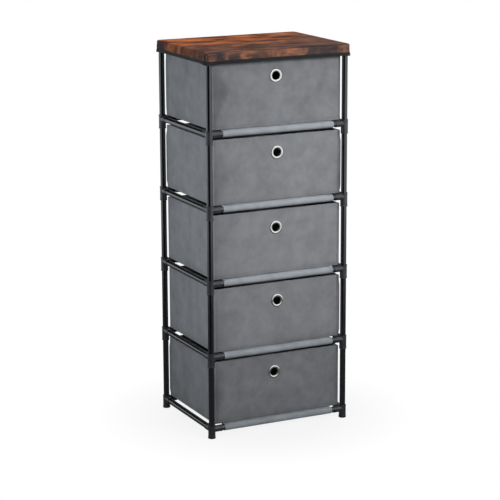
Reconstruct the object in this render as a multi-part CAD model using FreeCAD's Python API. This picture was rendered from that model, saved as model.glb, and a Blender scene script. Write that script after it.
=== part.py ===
"""Fabric drawer dresser: steel tubes pushed into moulded corner connectors, a cloth-covered top
and five folding-box cloth drawers that stand on cloth shelves.

Millimetres. X is to the right, the drawers pull out along -Y, Z is up, and the origin is on the
floor under the middle of the dresser. Each sub-part is exported to parts/NAME.step.
"""
import FreeCAD, Part

import math
import os

os.makedirs("parts", exist_ok=True)

Vector = FreeCAD.Vector
X_AXIS, Y_AXIS, Z_AXIS = Vector(1, 0, 0), Vector(0, 1, 0), Vector(0, 0, 1)

# Overall size and the grid of tube axes
WIDTH, DEPTH, HEIGHT = 430.0, 330.0, 1050.0     # over the hem of the top cover
LEG_X, LEG_Y = 202.0, 152.0                     # upright tube axes, from the middle
FOOT_LEVEL = 25.5                               # axis height of the lowest horizontal tubes
LEVEL_PITCH = 202.0
LEVELS = [FOOT_LEVEL + LEVEL_PITCH * i for i in range(6)]
SHELF_LEVELS = LEVELS[:-1]                      # the lower five carry a shelf cloth and a drawer

# Steel tube
TUBE_R = 8.0
TUBE_WALL = 0.7

# Corner connector: a collar round the uprights and two arms, all with blind sockets
SOCKET_R = TUBE_R + 0.05                        # push fit
STOP_BELOW, STOP_ABOVE = -7.0, -3.0             # the web that the uprights butt on, from the axis
COLLAR_R, COLLAR_TOP, COLLAR_BOTTOM = 9.8, 11.0, -27.0
TOP_STOP, TOP_COLLAR_BOTTOM = 4.0, -15.8        # the uppermost ones are short, to hide in the skirt
CROWN, CROWN_BEVEL = 10.2, 2.0                  # and closed on top
ARM_ROOT_R, ARM_TIP_R, ARM_LENGTH = 9.1, 8.8, 29.0
ARM_SEAT = 10.5                                 # where a horizontal tube butts, from the leg axis
BEAD_HEIGHT, BEAD_WIDTH, BEAD_SLOPE = 0.4, 3.6, 0.8

# Foot glide, plugged into the lowest socket
GLIDE_R, GLIDE_FLANGE, GLIDE_EDGE = 10.6, 2.6, 0.9
GLIDE_PLUG_R, GLIDE_PLUG, GLIDE_CORE_R = 7.9, 12.0, 5.8

# Shelf cloth: a sheet with a sewn tunnel round the front rail and one round the back rail
SHELF_CLOTH = 0.8
SHELF_WIDTH = 330.0
TUNNEL_IN_R = TUBE_R + 0.05
TUNNEL_OUT_R = TUNNEL_IN_R + SHELF_CLOTH

# Top: a board on the connectors, a cloth cap over it, and a binding sewn round the cap's hem
TOP_BOARD = 3.5
TOP_BOARD_INSET = 4.0                           # board edge in from the overall width and depth
TOP_BOARD_CORNER, TOP_BOARD_EDGE = 9.0, 2.0
COVER_CLOTH = 0.8
COVER_CORNER, COVER_EDGE = 13.0, 4.0
COVER_SKIRT = 30.6                              # overall height of the cap with its binding
BINDING, BINDING_HEIGHT = 0.6, 10.5
COVER_X, COVER_Y = WIDTH / 2 - BINDING, DEPTH / 2 - BINDING
HEM_Z = HEIGHT - COVER_SKIRT

# Drawers
DRAWER_W, DRAWER_D, DRAWER_H = 380.0, 290.0, 176.0
DRAWER_LIFT = 0.65                              # the box clears the connector arms as it slides
DRAWER_CORNER, DRAWER_FLOOR_EDGE = 1.5, 1.5
OUTER_CLOTH, LINING, WALL_BOARD, BASE_BOARD = 0.8, 0.6, 2.4, 2.6
WALL = OUTER_CLOTH + WALL_BOARD + LINING
HEM_DEPTH = 20.0                                # outer cloth turned down inside the rim
RIM_PLAY = 2.5                                  # the wall boards end this far under the turned rim
FOLD_GAP = 3.0                                  # between the two halves of a side board
BASE_PLAY = 0.7                                 # round the loose base board
BASE_CORNER = 4.0

# Eyelet in each drawer front, the finger hole
EYELET_DROP = 49.0                              # centre below the drawer's top edge
EYELET_SCATTER = [(-3.0, 6.0), (0.5, 1.5), (-3.5, -1.5), (0.5, -3.5), (-9.0, -2.5)]   # set by hand
EYELET_HOLE_R, EYELET_RIM_R = 11.0, 18.5
EYELET_RISE, EYELET_SHEET = 1.9, 0.8
EYELET_CUT_R = 12.0                             # hole cut in the cloths and the board
WASHER_R, WASHER_SHEET = 16.5, 0.8
CURL_R = 13.6                                   # reach of the barrel's rolled end over the washer


def export(shapes, name):
    """One STEP per sub-part; like pieces share one as a group of separate solids."""
    shape = shapes[0] if len(shapes) == 1 else Part.makeCompound(shapes)
    solids = shape.Solids
    if not all(solid.isValid() and solid.Volume > 0 for solid in solids):
        raise ValueError(name + " has a bad solid")
    shape.exportStep("parts/" + name + ".step")
    print(name, len(solids), "solids", round(shape.Volume / 1000, 1), "cm3")


def moved(shape, x=0.0, y=0.0, z=0.0):
    copy = shape.copy()
    copy.translate(Vector(x, y, z))
    return copy


def turned(shape, axis, degrees):
    copy = shape.copy()
    copy.rotate(Vector(0, 0, 0), axis, degrees)
    return copy


def mirrored(shape, normal):
    return shape.mirror(Vector(0, 0, 0), normal)


def revolved(profile):
    """Turns a closed (radius, height) outline round the Z axis."""
    points = [Vector(r, 0, z) for r, z in profile]
    face = Part.Face(Part.makePolygon(points + points[:1]))
    return face.revolve(Vector(0, 0, 0), Z_AXIS, 360)


def rounded_prism(half_x, half_y, low, high, corner):
    """A block with upright corners rounded in plan."""
    block = Part.makeBox(2 * half_x, 2 * half_y, high - low, Vector(-half_x, -half_y, low))
    if corner <= 0:
        return block
    upright = [e for e in block.Edges if abs(e.tangentAt(e.FirstParameter).z) > 0.9]
    return block.makeFillet(corner, upright)


def edges_at(shape, height):
    """The edges that lie wholly at one height."""
    return [e for e in shape.Edges if abs(e.BoundBox.ZMin - height) < 1e-6
            and abs(e.BoundBox.ZMax - height) < 1e-6]


# ---------------------------------------------------------------- steel tubes

def tube(length):
    """An open steel tube standing on the origin."""
    return Part.makeCylinder(TUBE_R, length).cut(Part.makeCylinder(TUBE_R - TUBE_WALL, length))


def upright_tubes(x, y):
    """One corner's uprights: each butts on the stops of the connectors below and above it."""
    lows = [level + STOP_ABOVE for level in SHELF_LEVELS]
    highs = [level + STOP_BELOW for level in LEVELS[1:-1]] + [LEVELS[-1] + TOP_STOP]
    return [moved(tube(high - low), x, y, low) for low, high in zip(lows, highs)]


def side_tubes(x):
    span = 2 * (LEG_Y - ARM_SEAT)
    rail = moved(turned(tube(span), X_AXIS, 90), y=span / 2)
    return [moved(rail, x=x, z=level) for level in LEVELS]


def rail_tubes(y):
    span = 2 * (LEG_X - ARM_SEAT)
    rail = moved(turned(tube(span), Y_AXIS, 90), x=-span / 2)
    return [moved(rail, y=y, z=level) for level in LEVELS]


# ---------------------------------------------------------------- moulded connectors

def beaded(base_r, tip_r, end):
    """A tapered round body from the origin up to end, with a raised bead round its mouth."""
    bead_r = tip_r + BEAD_HEIGHT
    return revolved([(0, 0), (base_r, 0), (tip_r, end - BEAD_WIDTH - BEAD_SLOPE),
                     (bead_r, end - BEAD_WIDTH), (bead_r, end), (0, end)])


def socket(seat, mouth):
    """The space of a blind socket, from the seat where the tube butts to its mouth."""
    return moved(Part.makeCylinder(SOCKET_R, mouth - seat), z=seat)


def upside_down(shape):
    return turned(shape, X_AXIS, 180)


def along_x(shape):
    return turned(shape, Y_AXIS, 90)


def along_y(shape):
    return turned(shape, X_AXIS, -90)


def connector(kind):
    """A three-way connector about its tube axes, with its arms along +X and +Y.

    kind is foot, corner or top. The foot's collar runs down to the glide, and the top's is closed.
    """
    below = {"foot": FOOT_LEVEL - GLIDE_FLANGE, "corner": -COLLAR_BOTTOM, "top": -TOP_COLLAR_BOTTOM}[kind]
    stop = TOP_STOP if kind == "top" else STOP_BELOW
    arm = beaded(ARM_ROOT_R, ARM_TIP_R, ARM_LENGTH)
    arm_socket = socket(ARM_SEAT, ARM_LENGTH)
    lower_collar = upside_down(beaded(COLLAR_R, COLLAR_R, below))
    spaces = [along_x(arm_socket), along_y(arm_socket), upside_down(socket(-stop, below))]
    if kind == "top":
        upper_collar = revolved([(0, 0), (COLLAR_R, 0), (COLLAR_R, CROWN - CROWN_BEVEL),
                                 (COLLAR_R - CROWN_BEVEL, CROWN), (0, CROWN)])
    else:
        upper_collar = beaded(COLLAR_R, COLLAR_R, COLLAR_TOP)
        spaces.append(socket(STOP_ABOVE, COLLAR_TOP))
    body = upper_collar.fuse([lower_collar, along_x(arm), along_y(arm)]).removeSplitter()
    return body.cut(spaces)


def at_corners(shape, level):
    """Four copies at the legs, each with its arms turned into the frame."""
    back_right = mirrored(mirrored(shape, X_AXIS), Y_AXIS)
    return [moved(shape, -LEG_X, -LEG_Y, level),
            moved(mirrored(shape, X_AXIS), LEG_X, -LEG_Y, level),
            moved(mirrored(shape, Y_AXIS), -LEG_X, LEG_Y, level),
            moved(back_right, LEG_X, LEG_Y, level)]


def foot_glide():
    """A plug with a wide flange that the dresser stands on."""
    top = GLIDE_FLANGE + GLIDE_PLUG
    return revolved([(0, 0), (GLIDE_R - GLIDE_EDGE, 0), (GLIDE_R, GLIDE_EDGE),
                     (GLIDE_R, GLIDE_FLANGE), (GLIDE_PLUG_R, GLIDE_FLANGE),
                     (GLIDE_PLUG_R, top - GLIDE_EDGE), (GLIDE_PLUG_R - GLIDE_EDGE, top),
                     (GLIDE_CORE_R, top), (GLIDE_CORE_R, GLIDE_FLANGE), (0, GLIDE_FLANGE)])


# ---------------------------------------------------------------- shelf cloths

def shelf_cloth(level):
    """A sheet level with the top of its two tunnels, drawn as one outline and run along X."""
    join = math.sqrt(TUNNEL_OUT_R ** 2 - TUNNEL_IN_R ** 2)

    def at(y, z):
        return Vector(-SHELF_WIDTH / 2, y, level + z)

    def round_tunnel(side):
        return Part.Arc(at(side * LEG_Y, TUNNEL_OUT_R), at(side * LEG_Y, -TUNNEL_OUT_R),
                        at(side * (LEG_Y - join), TUNNEL_IN_R)).toShape()

    outline = Part.Wire([
        Part.makeLine(at(-LEG_Y, TUNNEL_OUT_R), at(LEG_Y, TUNNEL_OUT_R)),
        round_tunnel(1),
        Part.makeLine(at(LEG_Y - join, TUNNEL_IN_R), at(join - LEG_Y, TUNNEL_IN_R)),
        round_tunnel(-1),
    ])
    cloth = Part.Face(outline).extrude(Vector(SHELF_WIDTH, 0, 0))
    for side in (-1, 1):
        start = Vector(-SHELF_WIDTH / 2, side * LEG_Y, level)
        cloth = cloth.cut(Part.makeCylinder(TUNNEL_IN_R, SHELF_WIDTH, start, X_AXIS))
    return cloth


# ---------------------------------------------------------------- top

def top_board():
    low = HEIGHT - COVER_CLOTH - TOP_BOARD
    board = rounded_prism(WIDTH / 2 - TOP_BOARD_INSET, DEPTH / 2 - TOP_BOARD_INSET, low,
                          low + TOP_BOARD, TOP_BOARD_CORNER)
    return board.makeFillet(TOP_BOARD_EDGE, edges_at(board, low + TOP_BOARD))


def cap(offset, top):
    """The cover's outer form, or the space inside it, as a block with rounded edges."""
    block = rounded_prism(COVER_X - offset, COVER_Y - offset, HEM_Z + BINDING, top,
                          COVER_CORNER - offset)
    return block.makeFillet(COVER_EDGE - offset, edges_at(block, top))


def top_cover():
    return cap(0, HEIGHT).cut(cap(COVER_CLOTH, HEIGHT - COVER_CLOTH))


def cover_binding():
    """A tape folded over the raw hem of the cover, so it shows outside and inside."""
    top = HEM_Z + BINDING_HEIGHT
    inset = BINDING + COVER_CLOTH + BINDING
    tape = rounded_prism(WIDTH / 2, DEPTH / 2, HEM_Z, top, COVER_CORNER + BINDING)
    space = rounded_prism(WIDTH / 2 - inset, DEPTH / 2 - inset, HEM_Z, top,
                          COVER_CORNER - COVER_CLOTH - BINDING)
    return tape.cut(space).cut(top_cover())


# ---------------------------------------------------------------- drawers

def drawer_base(level):
    """The height of the underside of the drawer that stands on the shelf at a level."""
    return level + TUNNEL_OUT_R + DRAWER_LIFT


def across_front(shape):
    """Turns a piece that was drawn round the Z axis to lie round the eyelet's axis, face to -Y."""
    return turned(shape, X_AXIS, 90)


def eyelet_centre(base, number):
    """The middle of a drawer's eyelet, on the outside of its front."""
    aside, above = EYELET_SCATTER[number - 1]
    return Vector(aside, -DRAWER_D / 2, base + DRAWER_H - EYELET_DROP + above)


def finger_hole(centre):
    """The hole punched through the front's cloths and board."""
    return Part.makeCylinder(EYELET_CUT_R, 2 * WALL, centre - Vector(0, WALL / 2, 0), Y_AXIS)


def box_block(inset, low, high, corner):
    return rounded_prism(DRAWER_W / 2 - inset, DRAWER_D / 2 - inset, low, high, corner)


def outer_cloth(base, centre):
    """The outside of the box, turned over the rim and down inside as a hem."""
    top = base + DRAWER_H
    outside = box_block(0, base, top, DRAWER_CORNER)
    outside = outside.makeFillet(DRAWER_FLOOR_EDGE, edges_at(outside, base))
    inside = box_block(OUTER_CLOTH, base + OUTER_CLOTH, top, DRAWER_CORNER - OUTER_CLOTH)
    hem_out = box_block(OUTER_CLOTH, top - OUTER_CLOTH, top, DRAWER_CORNER - OUTER_CLOTH)
    flap = box_block(WALL, top - HEM_DEPTH, top - OUTER_CLOTH, 0)
    mouth = box_block(WALL + OUTER_CLOTH, top - HEM_DEPTH, top, 0)
    return outside.cut(inside).fuse([hem_out, flap]).cut(mouth).cut(finger_hole(centre))


def lining(base, centre):
    top = base + DRAWER_H - OUTER_CLOTH
    low = base + OUTER_CLOTH
    outside = box_block(OUTER_CLOTH + WALL_BOARD, low, top, 0)
    inside = box_block(WALL, low + LINING, top, 0)
    return outside.cut(inside).cut(finger_hole(centre))


def wall_board_heights(base):
    return base + OUTER_CLOTH, base + DRAWER_H - OUTER_CLOTH - RIM_PLAY


def end_board(base, side):
    """A stiffener as wide as the drawer, in its front (side -1) or back (side 1) wall."""
    half = DRAWER_W / 2 - OUTER_CLOTH - WALL_BOARD
    low, high = wall_board_heights(base)
    outer_face = DRAWER_D / 2 - OUTER_CLOTH
    start = -outer_face if side < 0 else outer_face - WALL_BOARD
    return Part.makeBox(2 * half, WALL_BOARD, high - low, Vector(-half, start, low))


def side_boards(base):
    """Four halves: each side's stiffener is split at mid depth, where the empty box folds flat."""
    low, high = wall_board_heights(base)
    reach = DRAWER_D / 2 - OUTER_CLOTH - WALL_BOARD
    half = Part.makeBox(WALL_BOARD, reach - FOLD_GAP / 2, high - low,
                        Vector(DRAWER_W / 2 - OUTER_CLOTH - WALL_BOARD, FOLD_GAP / 2, low))
    right = [half, mirrored(half, Y_AXIS)]
    return right + [mirrored(piece, X_AXIS) for piece in right]


def base_board(base):
    low = base + OUTER_CLOTH + LINING
    return box_block(WALL + BASE_PLAY, low, low + BASE_BOARD, BASE_CORNER)


def eyelet(centre):
    """A domed rim outside, a barrel through the wall, and its end rolled over the washer."""
    back = -(WALL + WASHER_SHEET)
    inner_r, outer_r = EYELET_HOLE_R, EYELET_HOLE_R + EYELET_SHEET
    middle_r, half = (EYELET_RIM_R + inner_r) / 2, (EYELET_RIM_R - inner_r) / 2
    dome = [(middle_r - half * math.cos(turn), EYELET_RISE * math.sin(turn))
            for turn in (math.radians(step) for step in (0, 30, 60, 90, 120, 150, 180))]
    ring = revolved(dome + [(outer_r, 0), (outer_r, back), (CURL_R, back),
                            (CURL_R, back - EYELET_SHEET), (inner_r, back - EYELET_SHEET)])
    return across_front(ring).translated(centre)


def eyelet_washer(centre):
    near = -WALL
    ring = revolved([(EYELET_CUT_R, near), (WASHER_R, near), (WASHER_R, near - WASHER_SHEET),
                     (EYELET_CUT_R, near - WASHER_SHEET)])
    return across_front(ring).translated(centre)


# ---------------------------------------------------------------- build

for side_x, side_name in ((-1, "left"), (1, "right")):
    export(side_tubes(side_x * LEG_X), "side_tubes_" + side_name)
    for side_y, end_name in ((-1, "front"), (1, "back")):
        export(upright_tubes(side_x * LEG_X, side_y * LEG_Y),
               "upright_tubes_" + end_name + "_" + side_name)
export(rail_tubes(-LEG_Y), "front_rail_tubes")
export(rail_tubes(LEG_Y), "back_rail_tubes")

corner = connector("corner")
middle_connectors = [c for level in LEVELS[1:-1] for c in at_corners(corner, level)]
export(at_corners(connector("foot"), FOOT_LEVEL), "foot_connectors")
export(middle_connectors, "corner_connectors")
export(at_corners(connector("top"), LEVELS[-1]), "top_connectors")
export(at_corners(foot_glide(), 0), "foot_glides")

export([top_board()], "top_board")
export([top_cover()], "top_cover")
export([cover_binding()], "top_cover_binding")

for number, shelf_level in enumerate(reversed(SHELF_LEVELS), start=1):
    underside = drawer_base(shelf_level)
    hole = eyelet_centre(underside, number)
    drawer = "drawer_" + str(number) + "_"
    export([shelf_cloth(shelf_level)], "shelf_cloth_" + str(number))
    export([outer_cloth(underside, hole)], drawer + "outer_cloth")
    export([lining(underside, hole)], drawer + "lining")
    export([end_board(underside, -1).cut(finger_hole(hole))], drawer + "front_board")
    export([end_board(underside, 1)], drawer + "back_board")
    export(side_boards(underside), drawer + "side_boards")
    export([base_board(underside)], drawer + "base_board")
    export([eyelet(hole)], drawer + "eyelet")
    export([eyelet_washer(hole)], drawer + "eyelet_washer")
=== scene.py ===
import math

import bmesh
import bpy
from mathutils import Matrix, Vector, noise


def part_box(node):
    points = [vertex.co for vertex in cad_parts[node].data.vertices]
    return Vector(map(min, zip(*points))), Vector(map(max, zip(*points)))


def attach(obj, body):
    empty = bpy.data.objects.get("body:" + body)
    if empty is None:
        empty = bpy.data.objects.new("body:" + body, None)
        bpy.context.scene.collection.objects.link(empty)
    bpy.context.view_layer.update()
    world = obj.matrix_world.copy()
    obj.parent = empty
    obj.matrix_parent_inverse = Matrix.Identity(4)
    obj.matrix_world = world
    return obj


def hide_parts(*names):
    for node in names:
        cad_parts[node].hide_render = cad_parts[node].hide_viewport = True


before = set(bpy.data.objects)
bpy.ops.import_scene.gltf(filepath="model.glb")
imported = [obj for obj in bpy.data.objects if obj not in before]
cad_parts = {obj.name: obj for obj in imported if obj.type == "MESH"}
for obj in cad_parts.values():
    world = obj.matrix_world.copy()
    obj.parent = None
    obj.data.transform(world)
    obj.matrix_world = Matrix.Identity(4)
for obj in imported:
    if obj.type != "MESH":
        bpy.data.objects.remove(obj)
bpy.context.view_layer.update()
MM = 0.001

# ------------------------------------------------------------------------------ camera
# The dresser is seen from its front left and a little from above, through a long lens that
# keeps its uprights close to parallel.
YAW, PITCH, ROLL = math.radians(26.21), math.radians(13.29), math.radians(-0.24)
CAMERA_PLACE = Vector((-2.242, -4.535, 1.666))
LENS, SENSOR_WIDTH = 134.86, 36          # mm

camera = bpy.data.objects.new("camera", bpy.data.cameras.new("camera"))
bpy.context.scene.collection.objects.link(camera)
bpy.context.scene.camera = camera
camera.data.sensor_width = SENSOR_WIDTH
camera.data.lens = LENS
camera.matrix_world = (Matrix.Translation(CAMERA_PLACE)
                       @ Matrix.Rotation(-YAW, 4, "Z")
                       @ Matrix.Rotation(math.pi / 2 - PITCH, 4, "X")
                       @ Matrix.Rotation(ROLL, 4, "Z"))


# ------------------------------------------------------------------------------ steel tubes
# Twenty uprights, twelve side tubes and twelve rails of 16 mm steel tube, cut square and
# powder coated a smooth black. Each end is pushed into a connector.

class Signal:
    """A value in a material's node tree. Sums written with it become Math nodes."""

    def __init__(self, tree, socket):
        self.tree = tree
        self.socket = socket

    def maths(self, operation, *values, clamp=False):
        node = self.tree.nodes.new("ShaderNodeMath")
        node.operation = operation
        node.use_clamp = clamp
        for entry, value in zip(node.inputs, values):
            feed(self.tree, entry, value)
        return Signal(self.tree, node.outputs[0])

    def __add__(self, other):
        return self.maths("ADD", self, other)

    def __sub__(self, other):
        return self.maths("SUBTRACT", self, other)

    def __rsub__(self, other):
        return self.maths("SUBTRACT", other, self)

    def __mul__(self, other):
        return self.maths("MULTIPLY", self, other)

    def __truediv__(self, other):
        return self.maths("DIVIDE", self, other)

    def __pow__(self, other):
        return self.maths("POWER", self, other)

    def __neg__(self):
        return self.maths("MULTIPLY", self, -1.0)

    def __abs__(self):
        return self.maths("ABSOLUTE", self)

    __radd__ = __add__
    __rmul__ = __mul__

    def ramp(self, low, high):
        """0 below low, 1 above high, and a straight rise between them."""
        return self.maths("MULTIPLY_ADD", self, 1 / (high - low), -low / (high - low), clamp=True)

    def sine(self):
        return self.maths("SINE", self)

    def least(self, other):
        return self.maths("MINIMUM", self, other)

    def most(self, other):
        return self.maths("MAXIMUM", self, other)


def feed(tree, entry, value):
    """Links a signal to a socket, or sets the socket to a plain value."""
    if isinstance(value, Signal):
        tree.links.new(value.socket, entry)
    else:
        entry.default_value = value


class Nodes:
    """A node tree under construction."""

    def __init__(self, tree):
        self.tree = tree

    def node(self, kind, settings, entries, output=0):
        """Adds a node of any other kind: first its settings, then its sockets."""
        made = self.tree.nodes.new("ShaderNode" + kind)
        for setting, value in settings.items():
            setattr(made, setting, value)
        for entry, value in entries.items():
            feed(self.tree, made.inputs[entry], value)
        return Signal(self.tree, made.outputs[output])

    def show(self, end, value):
        """Feeds the node that the tree ends in."""
        feed(self.tree, self.tree.nodes[end].inputs[0], value)


class Finish(Nodes):
    """A material under construction."""

    def __init__(self, name, roughness, metallic=0.0, specular=0.5, ior=1.5):
        self.material = bpy.data.materials.new(name)
        self.material.use_nodes = True
        super().__init__(self.material.node_tree)
        self.shader = self.tree.nodes["Principled BSDF"]
        self.shader.inputs["Roughness"].default_value = roughness
        self.shader.inputs["Metallic"].default_value = metallic
        self.shader.inputs["Specular IOR Level"].default_value = specular
        self.shader.inputs["IOR"].default_value = ior

    def place(self):
        """The point on the piece, in metres in the dresser's own frame."""
        return self.node("TexCoord", {}, {}, "Object")

    def on_cloth(self):
        """The point on the flat cut cloth, in metres."""
        return self.node("UVMap", {"uv_map": "cut"}, {})

    def noted(self, name):
        """What the piece notes at the point, by the name of the note."""
        return self.node("Attribute", {"attribute_name": name}, {}, "Fac")

    def stretched(self, vector, scale):
        return self.node("VectorMath", {"operation": "MULTIPLY"}, {0: vector, 1: scale})

    def parts(self, vector):
        split = self.node("SeparateXYZ", {}, {0: vector})
        return [Signal(self.tree, out) for out in split.socket.node.outputs]

    def speckle(self, vector, scale, detail=2.0, roughness=0.5):
        """Soft noise from about 0.2 to 0.8, with a scale in spots per metre."""
        return self.node("TexNoise", {"noise_dimensions": "3D"},
                         {"Vector": vector, "Scale": scale, "Detail": detail, "Roughness": roughness})

    def mix(self, share, low, high):
        """A colour between two colours."""
        return self.node("Mix", {"data_type": "RGBA"}, {0: share, 6: low, 7: high}, 2)

    def bump(self, height, depth):
        """The surface normal over a relief of a height from 0 to 1 and a depth in metres."""
        return self.node("Bump", {}, {"Height": height, "Distance": depth})

    def done(self, **surface):
        """Feeds the shader. Names are its sockets, with _ for a space."""
        for name, value in surface.items():
            feed(self.tree, self.shader.inputs[name.replace("_", " ")], value)
        return self.material


def grey(level):
    return (level, level, level, 1)


def powder_coat():
    """Glossy black, with the fine orange peel of a baked coat and a few dull scuffed patches."""
    made = Finish("black_powder_coat", roughness=0.2, specular=1.0, ior=1.58)
    peel = made.speckle(made.place(), 900.0, detail=3.0)
    rubs_and_shading = made.speckle(made.place(), 38.0, detail=5.0, roughness=0.65)
    colour = made.mix(rubs_and_shading.ramp(0.5, 0.75), (0.0035, 0.0037, 0.004, 1), (0.008, 0.0085, 0.009, 1))
    return made.done(Base_Color=colour, Roughness=0.12 + rubs_and_shading * 0.12,
                     Normal=made.bump(peel, 0.03 * MM))


def dress(names, material):
    """Gives CAD pieces their material."""
    for name in names:
        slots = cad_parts[name].data.materials
        slots.clear()
        slots.append(material)


TUBES = [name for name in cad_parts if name.endswith("_tubes") or "_tubes_" in name]
dress(TUBES, powder_coat())


# ------------------------------------------------------------------------------ connectors
# Moulded three-way connectors at every crossing of the frame, charcoal polypropylene with a
# fine spark-eroded grain. The tubes are push fits in their sockets.

def moulded_plastic():
    made = Finish("charcoal_moulded_plastic", roughness=0.3, specular=0.75)
    grain = made.speckle(made.place(), 2600.0, detail=3.0, roughness=0.6)
    flow = made.speckle(made.place(), 45.0, detail=3.0)
    colour = made.mix(flow.ramp(0.3, 0.7), (0.020, 0.021, 0.023, 1), (0.034, 0.036, 0.039, 1))
    return made.done(Base_Color=colour, Roughness=0.18 + grain * 0.16,
                     Normal=made.bump(grain, 0.1 * MM))


dress(["foot_connectors", "corner_connectors", "top_connectors"], moulded_plastic())


# ------------------------------------------------------------------------------ foot glides
# Black plugs of hard plastic, pressed into the lowest sockets of the frame. The dresser stands on
# their round flanges, which the floor scuffs.

def scuffed_plastic():
    made = Finish("black_glide_plastic", roughness=0.55)
    scuff = made.speckle(made.stretched(made.place(), (1.0, 3.0, 6.0)), 260.0, detail=4.0)
    colour = made.mix(scuff.ramp(0.55, 0.7), grey(0.012), grey(0.045))
    return made.done(Base_Color=colour, Roughness=0.4 + scuff * 0.35,
                     Normal=made.bump(scuff, 0.05 * MM))


dress(["foot_glides"], scuffed_plastic())


# ------------------------------------------------------------------------------ top board
# A thin panel of pressed hardboard that lies on the uppermost connectors. The printed cover is
# pulled over it and hides it.

def hardboard():
    made = Finish("pressed_hardboard", roughness=0.75)
    fibre = made.speckle(made.place(), 700.0, detail=5.0, roughness=0.7)
    cloud = made.speckle(made.place(), 30.0, detail=3.0)
    colour = made.mix((fibre * 0.6 + cloud * 0.4).ramp(0.35, 0.65),
                      (0.19, 0.105, 0.05, 1), (0.34, 0.21, 0.115, 1))
    return made.done(Base_Color=colour, Normal=made.bump(fibre, 0.1 * MM))


dress(["top_board"], hardboard())


# ------------------------------------------------------------------------------ top cover
# A cap of printed cloth pulled over the board: a flat top and a 30 mm skirt, cut from one
# sheet, with a fold tucked in at each corner. The print is a common weathered plank pattern.
COVER_CELL = 7 * MM
COVER_THICK = 0.8 * MM
TUCK_HALF, TUCK_DEPTH, TUCK_ROLL = 3.2 * MM, 4.8 * MM, 2.0 * MM
TUCK_AWAY, TUCK_BEND = 9 * MM, 5.5 * MM
ROLL_AWAY, ROLL_HALF = 5 * MM, 3.2 * MM
HEM_WAVE, HEM_FLARE, HEM_DROOP = 0.9 * MM, 2.2 * MM, 1.6 * MM
FLARE_HALF, DROOP_AWAY, DROOP_HALF = 18 * MM, 5 * MM, 26 * MM
TOP_DIP = 0.25 * MM
LOOSEST = 1.5                  # the front left corner's slack, against the other three

cover_low, cover_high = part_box("top_cover")
COVER_REACH = cover_high.xy
COVER_CORNER, CORNER_STEPS = 13 * MM, 22
COVER_EDGE = 5 * MM
SKIRT = cover_high.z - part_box("top_cover_binding")[0].z


def select_only(*pieces):
    """Selects these pieces and nothing else, and makes the first of them the active one."""
    bpy.ops.object.select_all(action="DESELECT")
    for piece in pieces:
        piece.select_set(True)
        bpy.context.view_layer.objects.active = pieces[0]


def add_block(name, low, high):
    """A block between two corners, alone in the selection and open for editing."""
    select_only()
    bpy.ops.mesh.primitive_cube_add(size=1, location=(low + high) / 2, scale=high - low)
    bpy.ops.object.transform_apply(location=True, rotation=False, scale=True)
    piece = bpy.context.object
    piece.name = piece.data.name = name
    bpy.ops.object.mode_set(mode="EDIT")
    return piece


def pick(kind, test):
    """Selects the faces or the edges that pass a test."""
    bpy.ops.mesh.select_mode(type=kind)
    bpy.ops.mesh.select_all(action="DESELECT")
    mesh = bmesh.from_edit_mesh(bpy.context.object.data)
    for element in mesh.faces if kind == "FACE" else mesh.edges:
        if test(element):
            element.select_set(True)
    bmesh.update_edit_mesh(bpy.context.object.data)


def pick_faces(test):
    """Selects the faces whose middle and normal pass a test."""
    pick("FACE", lambda face: test(face.calc_center_median(), face.normal))


def pick_edges(test):
    """Selects the edges that pass a test of their two ends and of whether they are a rim."""
    pick("EDGE", lambda edge: test(edge.verts[0].co, edge.verts[1].co, edge.is_boundary))


def upright(a, b, rim):
    return abs(a.z - b.z) > 1e-4 and (a.xy - b.xy).length < 1e-6


def both_at(height):
    return lambda a, b, rim: abs(a.z - height) < 1e-6 and abs(b.z - height) < 1e-6


def slice_up(axis, places):
    """Cuts the whole mesh across an axis at each place."""
    normal = Vector([float(i == axis) for i in range(3)])
    for place in places:
        bpy.ops.mesh.select_all(action="SELECT")
        bpy.ops.mesh.bisect(plane_co=normal * place, plane_no=normal)


def steps(low, high, pitch, through=0.0):
    """Places from low to high a pitch apart, one of them at through."""
    first = math.ceil((low - through) / pitch + 0.25)
    last = math.floor((high - through) / pitch - 0.25)
    return [through + pitch * i for i in range(first, last + 1)]


def close_editing(piece):
    bpy.ops.mesh.select_all(action="DESELECT")
    bpy.ops.object.mode_set(mode="OBJECT")
    select_only(piece)


def thicken(piece, thickness, offset, even=True):
    """Gives a sheet its thickness: offset -1 is inwards and 0 is both ways."""
    solid = piece.modifiers.new("thickness", "SOLIDIFY")
    solid.thickness = thickness
    solid.offset = offset
    solid.use_even_offset = even
    bpy.context.view_layer.objects.active = piece
    bpy.ops.object.modifier_apply(modifier=solid.name)


def soften(piece, degrees):
    """Shades a piece smooth, but for edges sharper than an angle."""
    select_only(piece)
    bpy.ops.object.shade_smooth_by_angle(angle=math.radians(degrees))


def finish_piece(piece, material, body, slot, *nodes):
    """Paints a finished piece, puts it on its body and lets it stand for its CAD nodes."""
    piece.data.materials.clear()
    piece.data.materials.append(material)
    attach(piece, body)
    if nodes:
        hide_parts(*nodes)


def lay_out(piece, flat_place):
    """Writes the map of where each point of the piece lies on the flat cut cloth."""
    layer = piece.data.uv_layers.new(name="cut")
    for face in piece.data.polygons:
        for corner in face.loop_indices:
            point = piece.data.vertices[piece.data.loops[corner].vertex_index].co
            layer.data[corner].uv = flat_place(point, face.normal)


def between(value, low=0.0, high=1.0):
    return max(low, min(high, value))


def from_corner(point):
    """Way along the cover's outline from its nearest corner, above 0 towards the long sides."""
    past_x = abs(point.x) - (COVER_REACH.x - COVER_CORNER)
    past_y = abs(point.y) - (COVER_REACH.y - COVER_CORNER)
    if past_x > 0 and past_y > 0:
        return COVER_CORNER * (math.atan2(past_y, past_x) - math.pi / 4)
    if past_x <= 0:
        return COVER_CORNER * math.pi / 4 - past_x
    return past_y - COVER_CORNER * math.pi / 4


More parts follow.
